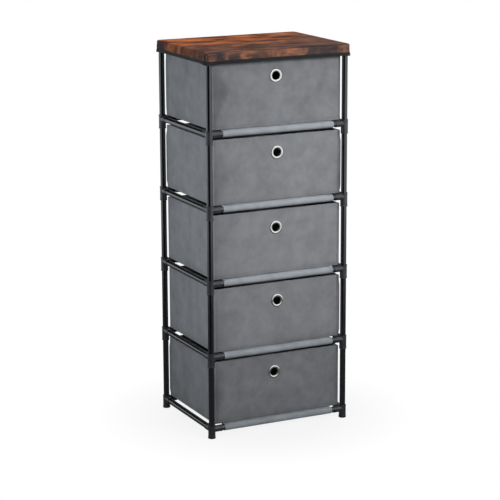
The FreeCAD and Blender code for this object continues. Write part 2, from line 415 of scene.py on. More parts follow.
def outward(point):
    """The level direction that leads out of the cover's rounded outline."""
    core_x, core_y = [between(way, COVER_CORNER - reach, reach - COVER_CORNER)
                      for way, reach in zip(point.xy, COVER_REACH)]
    away = Vector((point.x - core_x, point.y - core_y))
    if away.length < 1e-9:
        return Vector((0.0, 0.0))
    return away.normalized()


def looseness(point):
    return LOOSEST if point.x < 0 and point.y < 0 else 1.0


def groove(distance, half):
    """1 on a line, about a third this far to either side of it, and nearly 0 at twice that."""
    return math.exp(-(distance / half) ** 2)


def skirt_slack(point):
    """How far the skirt stands out where it hangs free, and how deep in a tuck the point is.

    It has waves along the hem, and corners that bulge, draw in above the hem and flare at it.
    """
    drop = between((cover_high.z - point.z) / SKIRT)
    way = from_corner(point)
    wave = noise.noise(Vector((point.x * 16, point.y * 16, 3.1))) * HEM_WAVE
    flare = HEM_FLARE * groove(way, FLARE_HALF) * (drop ** 3 - 0.35 * math.sin(math.pi * drop))
    from_tuck = way + TUCK_AWAY - TUCK_BEND * math.sin(math.pi * drop)
    inside = groove(from_tuck, TUCK_HALF) * math.sin(math.pi * min(1, drop * 1.1)) ** 0.7
    roll = TUCK_ROLL * groove(abs(from_tuck) - ROLL_AWAY, ROLL_HALF)
    bulge = roll * math.sin(math.pi * min(1, drop * 1.05)) - TUCK_DEPTH * inside
    return wave * drop ** 1.5 + looseness(point) * (flare + bulge), inside * looseness(point)


def hang(piece):
    """Moves the points of the cover or its binding by the skirt's slack, and notes the tucks."""
    tucked = piece.data.attributes.new("tucked", "FLOAT", "POINT")
    for vertex, note in zip(piece.data.vertices, tucked.data):
        away = outward(vertex.co)
        drop = (cover_high.z - vertex.co.z) / SKIRT
        if drop > 0.01:
            way = from_corner(vertex.co) - DROOP_AWAY
            droop = HEM_DROOP * looseness(vertex.co) * groove(way, DROOP_HALF) * drop ** 2
            out, note.value = skirt_slack(vertex.co)
            vertex.co.xy += away * out
            vertex.co.z -= droop
        else:
            dip = noise.noise(Vector((vertex.co.x * 9, vertex.co.y * 9, 0.7)))
            vertex.co.z -= TOP_DIP * (1 + dip)


def unfolded(point, normal):
    """The print runs over the edges, so a skirt's point lies outside the top on the flat cut."""
    return point.xy + outward(point) * (cover_high.z - point.z)


def slice_cap(low, high):
    """Cuts a cap across both ways into cells, finer beside the corners for their tucks and flares."""
    for axis in (0, 1):
        near = [COVER_CORNER * share for share in (1.08, 1.2, 1.35, 1.6)]
        finer = [side * (high[axis] - step) for side in (-1, 1) for step in near]
        slice_up(axis, steps(low[axis], high[axis], COVER_CELL) + finer)


def make_cover():
    cover = add_block("top_cover_cloth", cover_low, cover_high)
    pick_faces(lambda middle, normal: normal.z < -0.5)
    bpy.ops.mesh.delete(type="FACE")
    pick_edges(upright)
    bpy.ops.mesh.bevel(offset=COVER_CORNER, segments=CORNER_STEPS, affect="EDGES")
    pick_edges(both_at(cover_high.z))
    bpy.ops.mesh.bevel(offset=COVER_EDGE, segments=4, affect="EDGES")
    slice_cap(cover_low, cover_high)
    slice_up(2, steps(cover_low.z, cover_high.z - COVER_EDGE, 3 * MM, cover_low.z))
    bpy.ops.mesh.select_all(action="SELECT")
    bpy.ops.mesh.remove_doubles(threshold=0.3 * MM)
    close_editing(cover)
    lay_out(cover, unfolded)
    hang(cover)
    thicken(cover, COVER_THICK, -1, even=False)
    soften(cover, 50)
    return cover


# Patches of the print that the planks' grain runs through: middle (along, across) and half size
# on the flat cut, in mm, and strength. Charred ones are sooty black, bare ones are pale wood.
CHARRED = [
    ((-177, -177), (12, 9), 0.95), ((-135, -178), (17, 9), 0.8), ((-76, -184), (11, 11), 0.6),
    ((38, -186), (10, 9), 0.7), ((96, -170), (16, 26), 0.8), ((141, -166), (32, 30), 0.55),
    ((-236, 138), (28, 38), 0.95), ((-232, -44), (12, 12), 0.4), ((-60, 156), (60, 8), 0.5)]
BARE = [
    ((-156, -181), (6, 16), 0.8), ((-104, -184), (9, 12), 0.7), ((-86, -178), (5, 5), 0.6),
    ((-8, -184), (34, 15), 0.55), ((66, -182), (9, 14), 0.5), ((192, -180), (20, 17), 0.45),
    ((-234, -120), (14, 13), 0.9), ((-234, 70), (14, 24), 0.5)]

PLANK, GRAIN_BEND = 78 * MM, 14 * MM
RAGGED_ALONG, RAGGED_ACROSS = 50 * MM, 40 * MM
# Strips of the print, from and to, out from its middle. The front one is painted paler, a painted
# light, and the back one, the left skirt and the four rims are painted darker, a painted shade.
# The boards turn warmer from front to back over the sunny depth, and duller towards the right
# over the shady end.
FRONT_LIGHT_STRIP, BACK_SHADE_STRIP, LEFT_SHADE_STRIP = (140 * MM, 165 * MM), (146 * MM, 156 * MM), (213 * MM, 219 * MM)
RIM_PLACE, RIM_SHADE_FADE = (214 * MM, 164 * MM), 4.545 * MM
SUNNY_DEPTH, SHADY_END = (-170 * MM, 130 * MM), (40 * MM, 210 * MM)


def plank_print():
    """Weathered planks: warm towards the back and left, with charred and bare patches, saw marks
    across the grain, and dark joints. Painted shade darkens the tucks, the rims, the back strip
    and the left skirt, and painted light makes the front strip paler."""
    made = Finish("printed_plank_cloth", roughness=0.7, specular=0.06)
    flat = made.on_cloth()
    along, across, _ = made.parts(flat)

    def spots(on, per_along, per_across, detail=3.0, roughness=0.5):
        """Noise with so many spots per metre along and across."""
        return made.speckle(made.stretched(on, (per_along, per_across, 1)), 1.0, detail, roughness)

    bent_across = across + spots(flat, 6, 22) * GRAIN_BEND
    bent = made.node("CombineXYZ", {}, {0: along, 1: bent_across})
    plank = spots(bent, 9, 22, detail=4.0, roughness=0.6)
    streak = spots(bent, 14, 130, detail=5.0, roughness=0.6)
    fine = spots(bent, 60, 1500)
    blot = spots(flat, 34, 44, detail=4.0, roughness=0.6)
    saw = spots(flat, 300, 16, detail=2.0)
    mottle = spots(flat, 90, 60)
    # front is the front strip: painted light makes it paler, and its print is also warmer and less
    # charred.
    front = (-across).ramp(*FRONT_LIGHT_STRIP)
    ragged_x, ragged_y = (blot - 0.5) * RAGGED_ALONG, (plank - 0.5) * RAGGED_ACROSS

    def patches(places):
        """1 inside any of the patches, to 0 outside them, with ragged rims."""
        share = 0.0
        for (x, y), (half_x, half_y), strength in places:
            aside = abs(along + ragged_x - x * MM) / (half_x * MM)
            past = aside.most(abs(across + ragged_y - y * MM) / (half_y * MM))
            share = (past.ramp(1.35, 0.65) * strength).most(share)
        return share

    grain = plank * 0.7 + streak * 0.3
    sunny = (across.ramp(*SUNNY_DEPTH) * 0.75 + (blot - 0.5) * 1.2
             - along.ramp(*SHADY_END) * 0.35 + front * 0.2 + 0.05).ramp(0.2, 0.75)
    warm = made.mix(grain.ramp(0.43, 0.56), (0.070, 0.026, 0.018, 1), (0.74, 0.215, 0.066, 1))
    dull = made.mix(grain.ramp(0.40, 0.58), (0.052, 0.034, 0.030, 1), (0.23, 0.112, 0.078, 1))
    boards = made.mix(sunny, dull, warm)
    bare = made.mix(mottle.ramp(0.40, 0.60), (0.11, 0.062, 0.048, 1), (0.35, 0.165, 0.098, 1))
    pale = made.mix(patches(BARE) * (0.5 + blot * 0.8), boards, bare)
    sooty = patches(CHARRED).most((blot - grain * 0.3).ramp(0.50, 0.58) * (0.5 - front * 0.35))
    dark = made.mix(sooty, pale, (0.050, 0.045, 0.047, 1))
    from_rim = abs(abs(along) - RIM_PLACE[0]).least(abs(abs(across) - RIM_PLACE[1]))
    rim = 1 - (from_rim / RIM_SHADE_FADE).least(1.0)
    # Painted shade: up to 65 per cent darker along the rims and in the back strip, and half on the left
    # skirt.
    shade = (rim.most(across.ramp(*BACK_SHADE_STRIP)) * 0.65).most((-along).ramp(*LEFT_SHADE_STRIP) * 0.5)
    # Inside the tucks the cloth is painted up to 92 per cent darker, a painted shade.
    tucked = made.noted("tucked").least(1.0)
    ink = (saw.ramp(0.25, 0.5) * (0.2 + front * 0.3) + 0.75 + front * 0.25) * (fine * 0.5 + 0.75)
    joint = abs((bent_across * (math.pi / PLANK)).sine()).ramp(0.02, 0.09) * 0.45 + 0.55
    inked = made.mix(ink * joint * (1 - shade) * (1 - tucked * 0.92), (0.016, 0.009, 0.007, 1), dark)
    return made.done(Base_Color=inked, Roughness=0.6 + blot * 0.2,
                     Normal=made.bump(streak * 0.5 + fine * 0.5, 0.15 * MM))


cover = make_cover()
finish_piece(cover, plank_print(), "frame", "wood_print_cloth", "top_cover")


# ------------------------------------------------------------------------------ cover binding
# Black tape folded over the raw hem of the cover, outside, underneath and up inside again. It is
# sewn on, and follows each wave and tuck of the skirt.
TAPE_THICK = 0.6 * MM
TAPE_RIB = 1.1 * MM

tape_low, tape_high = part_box("top_cover_binding")
tape_high.z -= 1.5 * MM        # the fold is pressed flatter than the tape is cut


def make_binding():
    """The tape starts as its outer face, and is folded under the hem and up inside the skirt."""
    tape = add_block("top_cover_binding_tape", tape_low, tape_high)
    pick_faces(lambda middle, normal: abs(normal.z) > 0.5)
    bpy.ops.mesh.delete(type="FACE")
    pick_edges(upright)
    bpy.ops.mesh.bevel(offset=COVER_CORNER + TAPE_THICK, segments=CORNER_STEPS, affect="EDGES")
    inner = 2 * TAPE_THICK + COVER_THICK
    pick_edges(lambda a, b, rim: rim and max(a.z, b.z) < tape_low.z + 1e-6)
    bpy.ops.mesh.extrude_edges_move()
    bpy.ops.transform.resize(value=(1 - inner / tape_high.x, 1 - inner / tape_high.y, 1))
    bpy.ops.mesh.extrude_edges_move(TRANSFORM_OT_translate={"value": (0, 0, tape_high.z - tape_low.z)})
    slice_cap(tape_low, tape_high)
    slice_up(2, steps(tape_low.z, tape_high.z, 2.5 * MM, tape_low.z))
    close_editing(tape)
    lay_out(tape, lambda point, normal: (point.x + point.y, point.z))
    hang(tape)
    thicken(tape, TAPE_THICK, -1)
    soften(tape, 40)
    return tape


def woven_tape():
    """Black tape with fine ribs across it."""
    made = Finish("black_binding_tape", roughness=0.82, specular=0.3)
    along, _, _ = made.parts(made.on_cloth())
    ribs = (along * (2 * math.pi / TAPE_RIB)).sine() * 0.5 + 0.5
    lint = made.speckle(made.place(), 300.0, detail=4.0)
    colour = made.mix((ribs * 0.5 + lint * 0.5).ramp(0.3, 0.75),
                      grey(0.011), (0.034, 0.034, 0.036, 1))
    return made.done(Base_Color=colour, Normal=made.bump(ribs, 0.15 * MM))


binding = make_binding()
finish_piece(binding, woven_tape(), "frame", "binding_cloth", "top_cover_binding")


# ------------------------------------------------------------------------------ shelf cloths
# Five sheets of light grey non-woven cloth. Each end is turned round a rail and sewn back to
# the sheet as a tunnel, and the sheet is pulled flat between the rails.
RAIL_R, RAIL_GAP = 8 * MM, 0.05 * MM
SHELF_THICK = 0.8 * MM
TUNNEL_SEAM = 17 * MM          # from the rail's axis to the row of stitches
SEAM_FLAP = 6 * MM
SHELF_SAG, TUNNEL_SLACK = 2.2 * MM, 0.25 * MM
UNDERSIDE_SHADE = 3.5 * MM, 6 * MM   # below the rail's axis, from no painted shade to the full painted shade
ARC_STEPS, FLAT_STEPS, SHELF_COLUMNS = 26, 34, 40


def shelf_route(reach):
    """The sheet's own line seen from the side, from the front seam round both rails."""
    middle_r = RAIL_R + SHELF_THICK / 2 + RAIL_GAP
    under = middle_r - 1.1 * SHELF_THICK
    seam = Vector((TUNNEL_SEAM, under))
    leave = math.atan2(seam.y, seam.x) - math.acos(middle_r / seam.length)
    turn = [leave + (-1.5 * math.pi - leave) * i / ARC_STEPS for i in range(ARC_STEPS + 1)]
    half = [Vector((TUNNEL_SEAM + SEAM_FLAP, under)), seam]
    touch = Vector((math.cos(leave), math.sin(leave))) * middle_r
    half += [seam.lerp(touch, i / 5) for i in range(1, 5)]
    half += [Vector((math.cos(a), math.sin(a))) * middle_r for a in turn]
    front = [Vector((p.x - reach, p.y)) for p in half]
    flat = [Vector((-reach + 2 * reach * i / FLAT_STEPS, middle_r)) for i in range(1, FLAT_STEPS)]
    back = [Vector((-p.x, p.y)) for p in reversed(front)]
    return front + flat + back


def shelf_length(route):
    return sum((b - a).length for a, b in zip(route, route[1:]))


def make_shelf(number):
    """One sheet, bent from a flat grid along its route, and its flat size."""
    low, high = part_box("shelf_cloth_" + str(number))
    reach = high.y - RAIL_R - SHELF_THICK - RAIL_GAP
    level = (low.z + high.z) / 2
    route = shelf_route(reach)
    select_only()
    bpy.ops.mesh.primitive_grid_add(x_subdivisions=SHELF_COLUMNS, y_subdivisions=len(route) - 1, size=1)
    shelf = bpy.context.object
    shelf.name = shelf.data.name = "shelf_sheet_" + str(number)
    width, length = high.x - low.x, shelf_length(route)
    lay_out(shelf, lambda point, normal: ((point.x + 0.5) * width, (point.y + 0.5) * length))
    painted_shading = shelf.data.attributes.new("painted_shading", "FLOAT", "POINT")
    for vertex, note in zip(shelf.data.vertices, painted_shading.data):
        row = round((vertex.co.y + 0.5) * (len(route) - 1))
        x = vertex.co.x * width
        y, z = route[row]
        slack = noise.noise(Vector((x * 30, y * 30, level + z * 40)))
        if abs(y) < reach and z > 0:
            sag = 1 - (y / reach) ** 2
            z -= SHELF_SAG * sag * (1 + 0.25 * slack)
        else:
            out = Vector((y - math.copysign(reach, y), z))
            y += out.x / out.length * TUNNEL_SLACK * (slack + 0.7)
            z += out.y / out.length * TUNNEL_SLACK * (slack + 0.7)
            # The tunnel's underside carries painted shade, darker below the rail.
            note.value = between((-z - UNDERSIDE_SHADE[0]) / (UNDERSIDE_SHADE[1] - UNDERSIDE_SHADE[0]))
        vertex.co = (x, y, level + z)
    thicken(shelf, SHELF_THICK, 0)
    soften(shelf, 60)
    return shelf, (width, length)


WELD_PITCH = 1.7 * MM, 2.1 * MM


def spunbond(name, dark, light, cloud_share=1.0, rubs_and_shading=0.0):
    """Non-woven cloth: a grid of tiny welded points, loose fibres, and a cloudy lay.

    The last argument is how much darker it gets where the piece notes painted shade, or how much
    paler, a painted light, where the note is below 0.
    """
    made = Finish(name, roughness=0.86, specular=0.25)
    made.shader.inputs["Sheen Weight"].default_value = 0.12
    made.shader.inputs["Sheen Roughness"].default_value = 0.5
    place = made.place()
    along, across, _ = made.parts(made.on_cloth())
    weld = ((along * (2 * math.pi / WELD_PITCH[0])).sine()
            * (across * (2 * math.pi / WELD_PITCH[1])).sine())
    fibre = made.speckle(made.stretched(place, (1.0, 1.0, 0.6)), 620.0, detail=4.0, roughness=0.7)
    cloud = made.speckle(place, 30.0, detail=5.0, roughness=0.6)
    lay = made.speckle(place, 7.0, detail=2.0)
    share = (cloud * 0.62 * cloud_share + lay * 0.2 + fibre * 0.18 + weld * 0.012
             + 0.31 * (1 - cloud_share))
    colour = made.mix(share.ramp(0.3, 0.7), dark, light)
    # Painted shade from the piece's note darkens the cloth towards near black, and a note below 0 is
    # painted light towards pale grey.
    if rubs_and_shading:
        painted_shading = made.noted("painted_shading") * rubs_and_shading
        colour = made.mix(painted_shading.most(0.0), colour, grey(0.012))
        colour = made.mix((-painted_shading).most(0.0), colour, grey(0.5))
    height = abs(weld) * -0.6 + fibre * 0.8
    return made.done(Base_Color=colour, Roughness=0.8 + fibre * 0.12,
                     Normal=made.bump(height, 0.12 * MM))


SHELF_MATERIAL = spunbond("light_grey_nonwoven", (0.235, 0.253, 0.268, 1), (0.36, 0.380, 0.396, 1),
                          rubs_and_shading=0.25)
for number in range(1, 6):
    shelf, shelf_flat = make_shelf(number)
    finish_piece(shelf, SHELF_MATERIAL, "frame", "shelf_cloth", "shelf_cloth_" + str(number))


# ------------------------------------------------------------------------------ drawer cloths
# Each drawer is a sewn box of grey non-woven cloth over thin boards. Its panels meet in seams
# that stand out as narrow lips, and the cloth is turned over the rim and down inside.
CELL = 8 * MM
OUTER_THICK = 0.8 * MM
WALL = 3.8 * MM                # cloth, board and lining
FACE_NEAR = 1.2 * MM           # what counts as lying on a face
RIM_TURN = 20 * MM
BOX_FLOOR_EDGE, RIM_EDGE = 0.9 * MM, 1.1 * MM
SEAM_IN = 5.3 * MM             # row of stitches in from every sewn edge
SEAM_HALF, SEAM_DEPTH = 0.8 * MM, 0.6 * MM
HOLE_SQUARE = 3 * CELL
HOLE_R, HOLE_RINGS = 12 * MM, (18.5 * MM, 15 * MM)
TIGHT_LIP = 1.4 * MM           # a seam's reach beside the frame's collars
BROAD_SLACK, FINE_SLACK = 1.1 * MM, 0.5 * MM
SIDE_BOW, SIDE_RIPPLE = 1.1 * MM, 0.35 * MM
CREASE_HALF, CREASE_DEPTH = 1.6 * MM, 0.5 * MM
SECOND_CREASE, SECOND_HALF = 13 * MM, 1.4 * MM
# Reach of the painted shade along a wall's edges and foot.
EDGE_SHADE_REACH = 8 * MM
HOLE_FLAT = 19 * MM, 46 * MM   # from the hole's middle, from flat cloth to slack

# For each drawer from the top: how far its right front and its left back seam stand out, how
# far its rim is lifted, or sinks below 0, and where its side walls fold, all in mm, and how dark
# its sides and its front are painted, a painted shade by drawer.
LIP_FRONT = (1.2, 3.3, 0.9, 2.8, 0.8)
LIP_BACK = (2.2, 3.3, 1.2, 0.5, 3.0)
RIM_LIFT = (-0.2, -0.8, -1.0, -1.4, -1.4)
FOLD_PLACE = (14, 4, 1, -6, 14)
SIDE_SHADE = (0.45, 0.10, 0.20, 0.20, 0.50)
FRONT_SHADE = (0.18, 0.10, 0.0, 0.0, 0.25)

# Folds of the cloth on the fronts: from and to (across, up), height, and how dark the painted shade
# is on the fold's left side, or below 0 a painted light. In mm, from the middle of the front's lower
# edge.
FOLDS = {
    1: [((-186, 6), (-136, 104), 2.6, 0.50), ((-136, 104), (-172, 150), 1.8, 0.40),
        ((-25, 44), (15, 108), 0.9, 0.10), ((134, 78), (166, 160), 1.2, 0.14)],
    2: [((-184, 14), (-118, 92), 2.2, 0.28), ((-70, 6), (-30, 46), 1.0, 0.12),
        ((60, 120), (110, 30), 0.8, -0.06)],
    3: [((-184, 70), (-104, 162), 2.2, 0.26), ((-52, 28), (-6, 94), 1.3, 0.16),
        ((96, 60), (150, 130), 0.9, 0.08)],
    4: [((-186, 20), (-96, 84), 1.4, 0.16), ((20, 20), (84, 66), 0.8, 0.08)],
    5: [((-186, 26), (-150, 96), 2.0, 0.34), ((-60, 20), (0, 70), 1.0, 0.12),
        ((110, 24), (160, 96), 1.2, 0.12)],
}
# Patches of painted shade beside the upright seams: middle (across, up), half width, half height, and
# how dark.
SEAM_SHADE_PATCHES = {
    1: [((-184, 92), 26, 54, 0.30)],
    2: [((187, 46), 8, 34, 0.75), ((-186, 60), 16, 50, 0.18)],
    3: [((-186, 108), 18, 52, 0.20)],
    4: [((-187, 60), 20, 60, 0.14)],
    5: [((-186, 84), 15, 46, 0.80), ((186, 56), 10, 34, 0.60)],
}
FOLD_HALF, FOLD_SHADE_REACH = 13 * MM, 34 * MM

DRAWERS = ["drawer_" + str(number) for number in range(1, 6)]
STANDS_AT = {name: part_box(name + "_outer_cloth")[0].z for name in DRAWERS}
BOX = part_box("drawer_1_outer_cloth")[1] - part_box("drawer_1_outer_cloth")[0]
HALF = BOX / 2


def hole_centre(name):
    """The middle of a drawer's finger hole, on its front and from the drawer's own floor."""
    low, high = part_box(name + "_eyelet")
    return Vector(((low.x + high.x) / 2, -HALF.y, (low.z + high.z) / 2 - STANDS_AT[name]))


def ease(value, low, high):
    """0 at low, 1 at high, and smooth between them."""
    share = between((value - low) / (high - low))
    return share * share * (3 - 2 * share)


def move_picked(place):
    """Moves each selected point to a new place."""
    mesh = bmesh.from_edit_mesh(bpy.context.object.data)
    for vertex in mesh.verts:
        if vertex.select:
            vertex.co = place(vertex.co)
    bmesh.update_edit_mesh(bpy.context.object.data)


def punch(face_y, hole):
    """Opens the round finger hole in the front wall."""
    centre = Vector((hole.x, face_y, hole.z))
    within = HOLE_SQUARE + 0.1 * MM

    def close(point):
        return (abs(point.y - face_y) < 1e-5 and abs(point.x - hole.x) < within
                and abs(point.z - hole.z) < within)

    pick_faces(lambda middle, normal: normal.y < -0.9 and close(middle))
    bpy.ops.mesh.delete(type="FACE")
    pick_edges(lambda a, b, rim: rim and close(a) and close(b))
    for radius in HOLE_RINGS + (HOLE_R,):
        bpy.ops.mesh.extrude_edges_move()
        move_picked(lambda point: centre + (point - centre).normalized() * radius)


def open_box(name, low, high, floor_edge):
    """A box with no lid and with a rounded lower edge."""
    piece = add_block(name, low, high)
    pick_faces(lambda middle, normal: normal.z > 0.5)
    bpy.ops.mesh.delete(type="FACE")
    pick_edges(both_at(low.z))
    bpy.ops.mesh.bevel(offset=floor_edge, segments=2, affect="EDGES")
    return piece


def clear_of(places, line):
    """Drops the cuts that would fall close beside a seam's own cuts."""
    return [place for place in places if abs(abs(place) - line) > 2.5 * SEAM_HALF]


def box_cells(low, high, hole):
    """Cuts a box into cells that line up with its finger hole."""
    slice_up(0, clear_of(steps(low.x, high.x, CELL, hole.x), HALF.x - SEAM_IN))
    slice_up(1, clear_of(steps(low.y, high.y, CELL), HALF.y - SEAM_IN))
    slice_up(2, clear_of(steps(low.z, high.z, CELL, hole.z), SEAM_IN))


def box_panel(point, normal):
    """Each wall is a panel of its own on the flat cloth."""
    if abs(normal.z) > 0.7:
        return point.xy
    if abs(normal.y) > 0.7:
        return (point.x, point.z)
    return (point.y, point.z)


def make_outer_box(name, hole):
    """The drawer's outside, with its floor at height 0."""
    low = Vector((-HALF.x, -HALF.y, 0))
    high = Vector((HALF.x, HALF.y, BOX.z))
    piece = open_box(name, low, high, BOX_FLOOR_EDGE)
    pick_edges(lambda a, b, rim: rim)
    bpy.ops.mesh.extrude_edges_move()
    rim_in = WALL + OUTER_THICK
    bpy.ops.transform.resize(value=(1 - rim_in / high.x, 1 - rim_in / high.y, 1))
    bpy.ops.mesh.extrude_edges_move(TRANSFORM_OT_translate={"value": (0, 0, -RIM_TURN)})
    along_wall = both_at(high.z)
    pick_edges(lambda a, b, rim: along_wall(a, b, rim) and min(abs(a.x - b.x), abs(a.y - b.y)) < 1e-6)
    bpy.ops.mesh.bevel(offset=RIM_EDGE, segments=3, affect="EDGES")
    box_cells(low, high, hole)
    near_seam = [k * SEAM_HALF for k in (-1, 0, 1)]
    for half in (-1, 1):
        slice_up(0, [half * (high.x - SEAM_IN + step) for step in near_seam + [SEAM_IN / 2]])
        slice_up(1, [half * (high.y - SEAM_IN + step) for step in near_seam + [SEAM_IN / 2]])
    slice_up(2, [SEAM_IN + step for step in near_seam])
    punch(low.y, hole)
    close_editing(piece)
    return piece


def to_segment(point, start, end):
    """Signed distance to a line, above 0 on its left, and how fully beside its length it is."""
    run = end - start
    way = (point - start).dot(run) / run.length_squared
    aside = (run.x * (point.y - start.y) - run.y * (point.x - start.x)) / run.length
    return aside, ease(way, -0.18, 0.15) * ease(1.18 - way, 0.0, 0.33)


def front_marks(across, up, number):
    """Height of the cloth's folds on a front, and the painted shade there, which is painted light where
    below 0.
    """
    point = Vector((across, up))
    height = dull = 0.0
    for start, end, rise, painted_shading in FOLDS[number]:
        aside, beside = to_segment(point, Vector(start) * MM, Vector(end) * MM)
        height += rise * MM * groove(aside, FOLD_HALF) * beside
        # Painted shade on the fold's left side, or painted light where its number is below 0.
        if aside > 0:
            dull += painted_shading * ease(aside, 0, 6 * MM) * groove(aside, FOLD_SHADE_REACH) * beside
    # Patches of painted shade beside the upright seams.
    for middle, wide, tall, painted_shading in SEAM_SHADE_PATCHES[number]:
        far = Vector(((across - middle[0] * MM) / (wide * MM), (up - middle[1] * MM) / (tall * MM)))
        dull += painted_shading * math.exp(-far.length_squared)
    return height, dull


def free_of_edges(from_side, up, side_reach, foot_reach, rim_reach):
    """0 along a wall's seams and its rim, and 1 from a given reach inwards."""
    return (ease(from_side, SEAM_IN, side_reach) * ease(up, SEAM_IN, foot_reach)
            * ease(BOX.z - up, 2 * MM, rim_reach))


def slack(along, half, up, number, side):
    """How far a wall's cloth stands off its board, by drawer and by side."""
    inside = free_of_edges(half - abs(along), up, 30 * MM, 28 * MM, 26 * MM)
    seed = Vector((number * 7.3, side * 3.7, number * 1.9))
    broad = noise.noise(Vector((along * 11, up * 13, 0)) + seed)
    soft = noise.noise(Vector((along * 30 + up * 14, up * 24, 0)) + seed)
    return inside * (BROAD_SLACK * (broad + 0.55) + FINE_SLACK * (soft + 0.3))


def seam_reach(x, y, up, number):
    """How far the nearest upright seam stands out, which is little beside the frame's collars."""
    front, back = LIP_FRONT[number - 1] * MM, LIP_BACK[number - 1] * MM
    if y < 0:
        reach = front if x > 0 else (front + back) / 2
    else:
        reach = back if x < 0 else (front + back) / 2
    free = ease(up, 4 * MM, 22 * MM) * ease(BOX.z - up, 13 * MM, 32 * MM)
    return min(reach, TIGHT_LIP) + max(0.0, reach - TIGHT_LIP) * free


def stitched_in(from_edge):
    """How deep the row of stitches beside an edge draws the cloth in."""
    return SEAM_DEPTH * groove(from_edge - SEAM_IN, SEAM_HALF)


def end_wall(x, up, number, side, hole):
    """How far the cloth of the front or back stands off, and how dark it is painted, a painted shade.
    """
    from_edge = HALF.x - abs(x)
    out, dull = slack(x, HALF.x, up, number, side), 0.0
    if side < 0:
        height, dull = front_marks(x, up, number)
        from_hole = math.hypot(x - hole.x, up - hole.z)
        out = (out + height * ease(from_edge, SEAM_IN, 18 * MM)) * ease(from_hole, *HOLE_FLAT)
        # Painted shade along the front's side edges and its foot.
        dull += 0.3 * ease(from_edge, EDGE_SHADE_REACH, 0) + 0.5 * ease(up, EDGE_SHADE_REACH, 0)
        # A painted shade over the whole front, by drawer.
        dull += FRONT_SHADE[number - 1]
    return out - stitched_in(from_edge), dull


def side_wall(y, up, number, side):
    """The same for a side, which bows before and behind the fold that creases it."""
    from_edge, from_fold = HALF.y - abs(y), y - FOLD_PLACE[number - 1] * MM
    streak = noise.noise(Vector((y * 46, up * 5, number * 2.7 + side)))
    out = SIDE_BOW * math.sin(math.pi * min(1.0, abs(from_fold) / (HALF.y - SEAM_IN)))
    out += 0.6 * slack(y, HALF.y, up, number, side) + SIDE_RIPPLE * (streak + 0.4)
    out *= free_of_edges(from_edge, up, 16 * MM, 26 * MM, 34 * MM)
    crease = groove(from_fold, CREASE_HALF) + 0.5 * groove(from_fold - SECOND_CREASE, SECOND_HALF)
    # Painted shade in the crease, stronger higher up; the cloth is also darker along the sunken
    # streaks.
    dull = 0.9 * crease * ease(up, 0, 120 * MM) + 0.25 * max(0.0, -streak)
    # Painted shade along the side's front and back edges.
    dull += 0.3 * ease(from_edge, EDGE_SHADE_REACH, 0)
    # A painted shade over the side, by drawer, darker towards the back.
    dull += SIDE_SHADE[number - 1] * (0.5 + 0.5 * ease(y, -50 * MM, 60 * MM))
    return out - (CREASE_DEPTH * crease + stitched_in(from_edge)), dull


def loose_place(point, number, hole):
    """Where a point of the drawer's outer face goes as the cloth stands off, and its painted shade."""
    x, y, up = point
    on_end, on_side = abs(y) > HALF.y - FACE_NEAR, abs(x) > HALF.x - FACE_NEAR
    side = math.copysign(1, y if on_end else x)
    moved = Vector(point)
    dull = 0.0
    if on_end:
        out, dull = end_wall(x, up, number, side, hole)
        moved.y += side * (out - stitched_in(up))
    if on_side:
        out, painted_side_shade = side_wall(y, up, number, side)
        moved.x += side * (out - stitched_in(up))
        dull += painted_side_shade
    lip_x = max(0.0, 1 - (HALF.x - abs(x)) / SEAM_IN)
    lip_y = max(0.0, 1 - (HALF.y - abs(y)) / SEAM_IN)
    lip = seam_reach(x, y, up, number) * (lip_x * lip_y) ** 1.3
    moved.x += math.copysign(0.9 * lip, x)
    moved.y += math.copysign(lip, y)
    uneven = 0.85 + 0.3 * noise.noise(Vector((x * 9, y * 9, number)))
    moved.z += RIM_LIFT[number - 1] * MM * uneven * ease(up, BOX.z - 60 * MM, BOX.z - 2 * MM)
    # Painted highlight along the upright seam lips, clear of the foot.
    edge = max(lip_x, lip_y) if on_end or on_side else 0.0
    return moved, dull - 0.2 * ease(edge, 0.25, 0.6) * ease(up, 0, SEAM_IN)


def loosen(piece, number, hole):
    """Lets one drawer's cloth stand off its boards, and notes its painted shade and painted highlight.
    """
    painted_shading = piece.data.attributes.new("painted_shading", "FLOAT", "POINT")
    for vertex, note in zip(piece.data.vertices, painted_shading.data):
        vertex.co, note.value = loose_place(vertex.co, number, hole)


def shift(piece, way):
    for vertex in piece.data.vertices:
        vertex.co += Vector(way)


def box_flat(width, depth, height, turn):
    """Size and area of the cross-shaped cut that folds up into a box with turned-in rims."""
    wall = height + turn
    cut = (width + 2 * wall, depth + 2 * wall)
    return cut, width * depth + 2 * (width + depth) * wall


DRAWER_CLOTH = spunbond("grey_drawer_nonwoven", (0.149, 0.151, 0.157, 1), (0.244, 0.247, 0.256, 1),
                        rubs_and_shading=0.3)
outer_cut, outer_area = box_flat(BOX.x, BOX.y, BOX.z, WALL + RIM_TURN)
for number, name in enumerate(DRAWERS, 1):
    hole = hole_centre(name)
    outer = make_outer_box(name + "_cloth_box", hole)
    lay_out(outer, box_panel)
    loosen(outer, number, hole)
    shift(outer, (0, 0, STANDS_AT[name]))
    thicken(outer, OUTER_THICK, -1)
    soften(outer, 50)
    finish_piece(outer, DRAWER_CLOTH, name, "drawer_cloth", name + "_outer_cloth")


# ------------------------------------------------------------------------------ stitches
# Rows of spun grey thread beside every sewn edge of a drawer, one stitch about every 4 mm. They
# lie in the grooves that they draw into the cloth, and go where it goes.
STITCH_PITCH, STITCH_LENGTH, STITCH_R = 4.0 * MM, 3.1 * MM, 0.28 * MM


